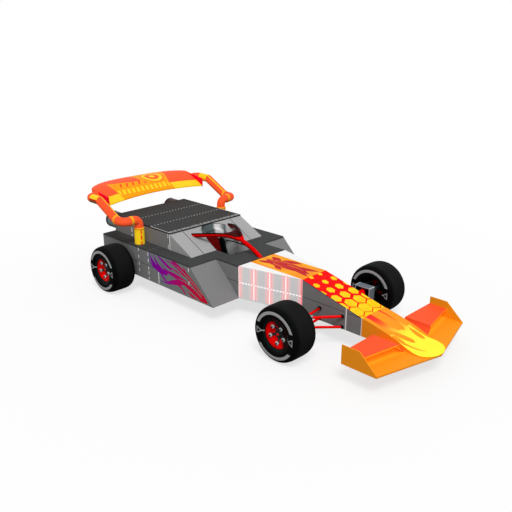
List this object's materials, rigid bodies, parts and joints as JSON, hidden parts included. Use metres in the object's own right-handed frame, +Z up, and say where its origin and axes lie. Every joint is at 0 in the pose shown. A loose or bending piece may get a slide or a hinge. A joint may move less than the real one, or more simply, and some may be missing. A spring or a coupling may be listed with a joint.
{
  "type": "formula one car",
  "caption": "Open wheel single seat racing car with blocky side pods, halo, drooping nose, front wing and a rear wing on bent tube arms; the wheels turn and the front ones steer.",
  "frame": {"origin": "on the ground under the middle of the car's length, in its middle plane", "axes": "+X forward to the nose, +Y to the car's left, +Z up"},
  "size_m": [5.84, 2.696, 1.3704],
  "materials": {
    "dark_bodywork": "satin",
    "grey_bodywork": "satin",
    "pale_bodywork": "satin",
    "white_bodywork": "gloss",
    "flame_bodywork": "gloss",
    "red_orange_paint": "gloss",
    "red_paint": "gloss",
    "seat_shell": "matt",
    "headrest_shell": "gloss",
    "steering_grip": "matt",
    "steel": "brushed",
    "engine": "cast",
    "upright_metal": "satin",
    "tyre": "matt",
    "rim": "gloss"
  },
  "bodies": {
    "chassis": {"floor_tray": "grey_bodywork", "deck_panel": "dark_bodywork", "pod_fronts": "grey_bodywork", "side_panel_left": "grey_bodywork", "side_panel_right": "grey_bodywork", "cell_walls": "dark_bodywork", "tail_panel": "grey_bodywork", "seat_bulkhead": "dark_bodywork", "cover_sides": "grey_bodywork", "roof_panel": "dark_bodywork", "cockpit_ramp_left": "pale_bodywork", "cockpit_ramp_right": "pale_bodywork", "footwell_floor": "white_bodywork", "footwell_top": "white_bodywork", "footwell_sides": "white_bodywork", "nose_box": "grey_bodywork", "nose_wedge": "flame_bodywork", "nose_cone": "flame_bodywork", "front_wing": "flame_bodywork", "front_endplates": "flame_bodywork", "front_flap_left": "red_orange_paint", "front_flap_right": "red_orange_paint", "halo": "red_paint", "seat": "seat_shell", "headrest": "headrest_shell", "steering_column": "steel", "engine_block": "engine", "rear_wing": "flame_bodywork", "wing_arm_left": "red_orange_paint", "wing_arm_right": "red_orange_paint", "exhausts": "steel", "rear_axle": "steel", "front_wishbones_left": "red_paint", "front_wishbones_right": "red_paint"},
    "knuckle_left": {"upright_left": "upright_metal"},
    "knuckle_right": {"upright_right": "upright_metal"},
    "steering": {"steering_wheel": "steering_grip"},
    "wheel_front_left": {"tyre_front_left": "tyre", "rim_front_left": "rim"},
    "wheel_front_right": {"tyre_front_right": "tyre", "rim_front_right": "rim"},
    "wheel_rear_left": {"tyre_rear_left": "tyre", "rim_rear_left": "rim"},
    "wheel_rear_right": {"tyre_rear_right": "tyre", "rim_rear_right": "rim"}
  },
  "joints": [
    {"name": "steer_left", "type": "hinge", "parent": "chassis", "child": "knuckle_left", "pos_m": [1.425, 0.599, 0.345], "axis": [0, 0, 1], "range_deg": [-20, 20]},
    {"name": "wheel_spin_front_left", "type": "hinge", "parent": "knuckle_left", "child": "wheel_front_left", "pos_m": [1.425, 0.934, 0.345], "axis": [0, 1, 0], "continuous": true},
    {"name": "wheel_spin_rear_left", "type": "hinge", "parent": "chassis", "child": "wheel_rear_left", "pos_m": [-1.785, 1.162, 0.345], "axis": [0, 1, 0], "continuous": true},
    {"name": "steer_right", "type": "hinge", "parent": "chassis", "child": "knuckle_right", "pos_m": [1.425, -0.599, 0.345], "axis": [0, 0, 1], "range_deg": [-20, 20]},
    {"name": "wheel_spin_front_right", "type": "hinge", "parent": "knuckle_right", "child": "wheel_front_right", "pos_m": [1.425, -0.934, 0.345], "axis": [0, 1, 0], "continuous": true},
    {"name": "wheel_spin_rear_right", "type": "hinge", "parent": "chassis", "child": "wheel_rear_right", "pos_m": [-1.785, -1.162, 0.345], "axis": [0, 1, 0], "continuous": true},
    {"name": "steering_wheel_turn", "type": "hinge", "parent": "chassis", "child": "steering", "pos_m": [-0.3, 0, 0.575], "axis": [-0.9806, 0, 0.1961], "range_deg": [-180, 180]}
  ],
  "couplings": [
    {"joint": "steer_right", "follows": "steer_left", "ratio": 1},
    {"joint": "steering_wheel_turn", "follows": "steer_left", "ratio": 9}
  ]
}
